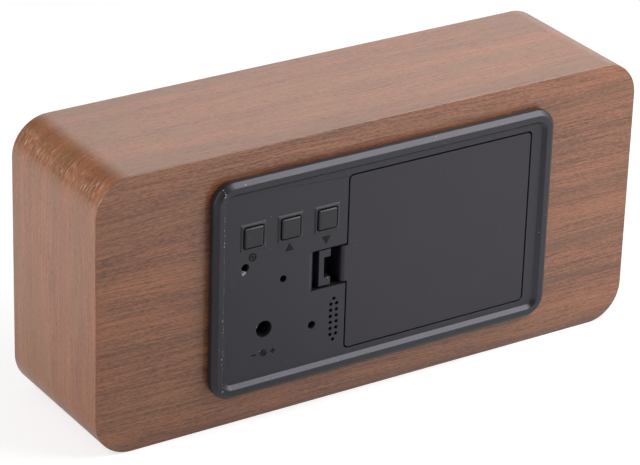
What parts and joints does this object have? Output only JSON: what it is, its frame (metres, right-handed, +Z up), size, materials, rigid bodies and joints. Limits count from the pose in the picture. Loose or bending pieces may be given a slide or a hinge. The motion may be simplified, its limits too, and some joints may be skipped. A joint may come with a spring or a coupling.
{
  "type": "wooden digital alarm clock",
  "caption": "Wooden block desk clock with rounded long edges, digits that shine through the front veneer, and a black rear cover with push buttons, a power inlet and a snap-fit battery door.",
  "frame": {"origin": "middle of the case's flat underside, where the clock stands on a table", "axes": "+X along the clock's width, to the left in a view of its back; +Y towards the back; +Z up"},
  "size_m": [0.15, 0.043, 0.07],
  "materials": {
    "wood_film": "satin printed wood film",
    "veneer": "satin printed wood film that lets light through",
    "cover_plastic": "satin moulded plastic",
    "door_plastic": "satin moulded plastic",
    "button_plastic": "satin moulded plastic",
    "white_plastic": "matte moulded plastic",
    "diffuser": "milky light-spreading plastic",
    "led": "clear resin over phosphor",
    "circuit_board": "solder mask on glass-fibre board",
    "steel": "plain steel",
    "nickel": "nickel plate",
    "brass_pin": "turned brass",
    "black_part": "moulded component plastic",
    "lead_red": "soft wire insulation",
    "lead_black": "soft wire insulation",
    "ribbon": "flat cable insulation",
    "bead": "glossy epoxy bead"
  },
  "bodies": {
    "clock_body": {"wood_case": "wood_film", "front_veneer": "veneer", "display_reflector": "white_plastic", "segment_diffusers": "diffuser", "display_leds": "led", "display_board": "circuit_board", "display_screws": "steel", "ribbon_cable": "ribbon", "ribbon_plugs": "white_plastic", "rear_cover": "cover_plastic", "contact_plates": "nickel", "battery_springs": "nickel", "battery_lead_red": "lead_red", "battery_lead_black": "lead_black", "control_board": "circuit_board", "board_screws": "steel", "tact_switches": "black_part", "dc_jack": "black_part", "dc_jack_pin": "brass_pin", "buzzer": "black_part", "microphone": "steel", "thermistor": "bead", "microcontroller": "black_part", "clock_crystal": "steel"},
    "door": {"battery_door": "door_plastic"},
    "set_key": {"set_button": "button_plastic", "set_plunger": "black_part"},
    "up_key": {"up_button": "button_plastic", "up_plunger": "black_part"},
    "down_key": {"down_button": "button_plastic", "down_plunger": "black_part"}
  },
  "joints": [
    {"name": "door_hinge", "type": "hinge", "parent": "clock_body", "child": "door", "pos_m": [-0.0411, 0.02105, 0.0357], "axis": [0, 0, 1], "range_deg": [0, 95]},
    {"name": "set_press", "type": "slide", "parent": "clock_body", "child": "set_key", "axis": [0, -1, 0], "range_m": [0, 0.0003], "stiffness_N_per_m": 3000},
    {"name": "up_press", "type": "slide", "parent": "clock_body", "child": "up_key", "axis": [0, -1, 0], "range_m": [0, 0.0003], "stiffness_N_per_m": 3000},
    {"name": "down_press", "type": "slide", "parent": "clock_body", "child": "down_key", "axis": [0, -1, 0], "range_m": [0, 0.0003], "stiffness_N_per_m": 3000}
  ]
}
